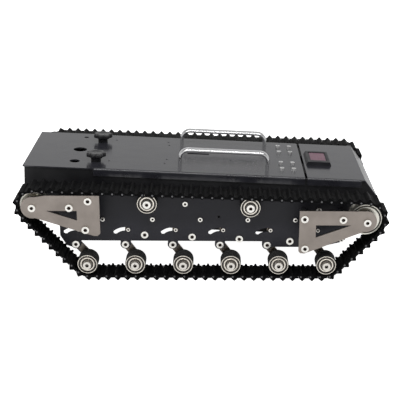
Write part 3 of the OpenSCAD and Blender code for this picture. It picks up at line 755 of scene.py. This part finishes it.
def battery_meter():
    """Keeps the bezel from the CAD and lays a reddish window in its recess."""
    finish_node("battery_meter", "bezel", 0.6)
    bm = bmesh.new()
    corners = [(176.0, -16.4), (201.0, -16.4), (201.0, 24.4), (176.0, 24.4)]
    low = [bm.verts.new(deck_point(x, y, 4.85)) for x, y in corners]
    high = [bm.verts.new(deck_point(x, y, 5.2)) for x, y in corners]
    bm.faces.new(low)
    bm.faces.new(high)
    for i in range(4):
        j = (i + 1) % 4
        bm.faces.new((low[i], low[j], high[j], high[i]))
    piece = new_object("battery_meter_window", bm, MAT["window"], "chassis", 30)
    bevel(piece, 0.15)


# ------------------------------------------------------------------ springs

def coil_path(start, end, radius, turns, side, per_turn=14):
    """Centre line of an extension spring with a straight hook at each end."""
    ahead = (end - start).normalized()
    out = Vector((0, side, 0))
    up = ahead.cross(out).normalized()
    body_start, body_end = start + ahead * 6.2 * MM, end - ahead * 5.4 * MM
    points = []
    steps = int(turns * per_turn)
    for k in range(steps + 1):
        a = math.tau * k / per_turn
        centre = body_start.lerp(body_end, k / steps)
        points.append(centre + (out * math.cos(a) + up * math.sin(a)) * radius * MM)
    hook_in = [start + (up * math.sin(a) + ahead * math.cos(a)) * 3.7 * MM
               for a in (4.2, 3.6, 3.0, 2.4, 1.8, 1.2, 0.6)]
    hook_out = [end + (up * math.sin(a) + ahead * math.cos(a)) * 2.8 * MM
                for a in (2.6, 2.0, 1.4, 0.8, 0.2, -0.4, -1.0)]
    return hook_in + points + hook_out


def springs():
    """Twelve wire coils from the arms' stop pins to the anchor screws."""
    first = True
    for side_name, side in SIDES.items():
        s = side_name[0]
        for i in WHEELS:
            pivot = joint_point(f"arm_{s}{i}_swing")
            y = side * 120.1 * MM
            start = Vector((pivot.x + 4.71 * MM, y, pivot.z + 24.25 * MM))
            end = Vector((pivot.x + 42.8 * MM, y, pivot.z + 42 * MM))
            bm = bmesh.new()
            path = coil_path(start, end, 2.9, 13, side)
            sweep(bm, path, ring_section(0.5 * MM, 6), Vector((0.12, 0.31, 0.94)))
            piece = new_object(f"suspension_spring_{s}{i}", bm, MAT["spring"], None, 60)
            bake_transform(piece)
            if first:
                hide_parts("suspension_springs")
                first = False


# ------------------------------------------------------------------ wiring

def smooth_path(points, steps=8):
    """A smooth line through a few points, in metres."""
    ends = [points[0] * 2 - points[1]] + points + [points[-1] * 2 - points[-2]]
    out = []
    for a, b, c, d in zip(ends, ends[1:], ends[2:], ends[3:]):
        for k in range(steps):
            t = k / steps
            out.append(0.5 * (2 * b + (c - a) * t + (2 * a - 5 * b + 4 * c - d) * t * t
                              + (3 * b - a - 3 * c + d) * t ** 3))
    return out + [points[-1]]


def wires():
    """Insulated leads from the battery to the driver board and on to the motors."""
    runs = {
        "lead_battery_red": ("lead_red", [(24, -10, -61), (40, -14, -58), (52, -22, -66), (66, -34, -76), (72, -34, -80)]),
        "lead_battery_black": ("lead_black", [(24, 2, -61), (42, 4, -57), (54, -4, -64), (68, -12, -74), (72, -18, -80)]),
        "lead_left_red": ("lead_red", [(134, -30, -79), (150, -38, -74), (186, -50, -66), (226, -46, -50), (243, -34, -42)]),
        "lead_left_black": ("lead_black", [(134, -20, -79), (152, -28, -72), (188, -42, -64), (228, -38, -52), (244, -30, -44)]),
        "lead_right_red": ("lead_red", [(134, 20, -79), (152, 26, -73), (188, 40, -65), (228, 38, -52), (244, 30, -44)]),
        "lead_right_black": ("lead_black", [(134, 28, -79), (150, 36, -75), (186, 50, -67), (226, 46, -50), (243, 34, -42)]),
    }
    for name, (material, points) in runs.items():
        bm = bmesh.new()
        path = smooth_path([deck_point(*p) for p in points])
        sweep(bm, path, ring_section(1.5 * MM, 12), Vector((0.1, 0.2, 0.97)))
        piece = new_object(name, bm, MAT[material], "chassis", 60)


# ------------------------------------------------------------------ stage

def stage():
    floor_z = CAD_BOX[0].z
    bm = bmesh.new()
    size = 6.0
    corners = [(-size, -size), (size, -size), (size, size), (-size, size)]
    bm.faces.new([bm.verts.new((x, y, floor_z - 0.0002)) for x, y in corners])
    mesh = bpy.data.meshes.new("floor")
    bm.to_mesh(mesh)
    bm.free()
    n = Nodes("floor_paper")
    n.set(
        Base_Color=n.mix(n.noise(3, 2), (0.78, 0.78, 0.78), (0.80, 0.80, 0.80)),
        Roughness=0.9,
        Specular_IOR_Level=0.0,
        Emission_Color=(1.0, 1.0, 1.0),
        Emission_Strength=n.range(n.add("ShaderNodeLightPath").outputs["Is Camera Ray"], 0.1, 1.0, 0, 1),
    )
    mesh.materials.append(n.material)
    floor = bpy.data.objects.new("floor", mesh)
    bpy.context.scene.collection.objects.link(floor)

    studio_world()
    area_light("key", (-0.9, -1.5, 1.9), 9, 1.2)
    area_light("top", (0.2, 0.5, 2.2), 9, 2.0)
    area_light("strip", (0.1, -1.2, 1.9), 32, 2.4, 0.3)


def studio_world():
    """White behind the object; for light and reflections, a grey dome that is brighter near the horizon."""
    world = bpy.data.worlds.new("studio")
    bpy.context.scene.world = world
    world.use_nodes = True
    tree = world.node_tree

    def graded(source, low, high, from_low=0.0, from_high=1.0):
        node = tree.nodes.new("ShaderNodeMapRange")
        for name, value in (("From Min", from_low), ("From Max", from_high), ("To Max", high)):
            node.inputs[name].default_value = value
        tree.links.new(source, node.inputs["Value"])
        if isinstance(low, float):
            node.inputs["To Min"].default_value = low
        else:
            tree.links.new(low, node.inputs["To Min"])
        return node.outputs[0]

    split = tree.nodes.new("ShaderNodeSeparateXYZ")
    tree.links.new(tree.nodes.new("ShaderNodeTexCoord").outputs["Generated"], split.inputs[0])
    dome = graded(split.outputs["Z"], 0.70, 0.22, 0.35, 0.70)
    seen = tree.nodes.new("ShaderNodeLightPath").outputs["Is Camera Ray"]
    tree.links.new(graded(seen, dome, 1.05), tree.nodes["Background"].inputs["Strength"])
    tree.nodes["Background"].inputs["Color"].default_value = (1.0, 1.0, 1.0, 1)


def plain_view():
    """Shows colours as they are, so that white paper comes out white."""
    view = bpy.context.scene.view_settings
    view.view_transform = "Standard"
    view.look = "None"


def area_light(name, place, power, size, height=0.0):
    light = bpy.data.lights.new(name, "AREA")
    light.energy = power
    light.size = size
    if height:
        light.shape = "RECTANGLE"
        light.size_y = height
    lamp = bpy.data.objects.new(name, light)
    lamp.location = place
    lamp.rotation_mode = "QUATERNION"
    lamp.rotation_quaternion = (Vector((0, 0, 0.08)) - Vector(place)).to_track_quat("-Z", "Y")
    bpy.context.scene.collection.objects.link(lamp)


def camera():
    """The picture's viewpoint: a long lens, about 20 degrees above the horizon."""
    data = bpy.data.cameras.new("camera")
    data.sensor_width = 36
    data.lens = 90
    data.shift_x = -0.058
    data.clip_start, data.clip_end = 0.05, 30
    cam = bpy.data.objects.new("camera", data)
    cam.location = Vector((16.5, -1578.5, 651.2)) * MM
    pitch, yaw, roll = math.radians(20.09), math.radians(-0.6), math.radians(-0.53)
    ahead = Vector((-math.sin(yaw) * math.cos(pitch), math.cos(yaw) * math.cos(pitch), -math.sin(pitch)))
    right = ahead.cross(Vector((0, 0, 1))).normalized()
    down = ahead.cross(right).normalized()
    turned = right * math.cos(roll) + down * math.sin(roll)
    up = turned.cross(ahead).normalized()
    basis = Matrix((turned, up, -ahead)).transposed()
    cam.rotation_mode = "QUATERNION"
    cam.rotation_quaternion = basis.to_quaternion()
    bpy.context.scene.collection.objects.link(cam)
    bpy.context.scene.camera = cam


finish_nodes()
running_wheels()
drive_wheels()
idlers()
carry_handles()
star_knobs()
battery_meter()
springs()
wires()
stage()
plain_view()
camera()
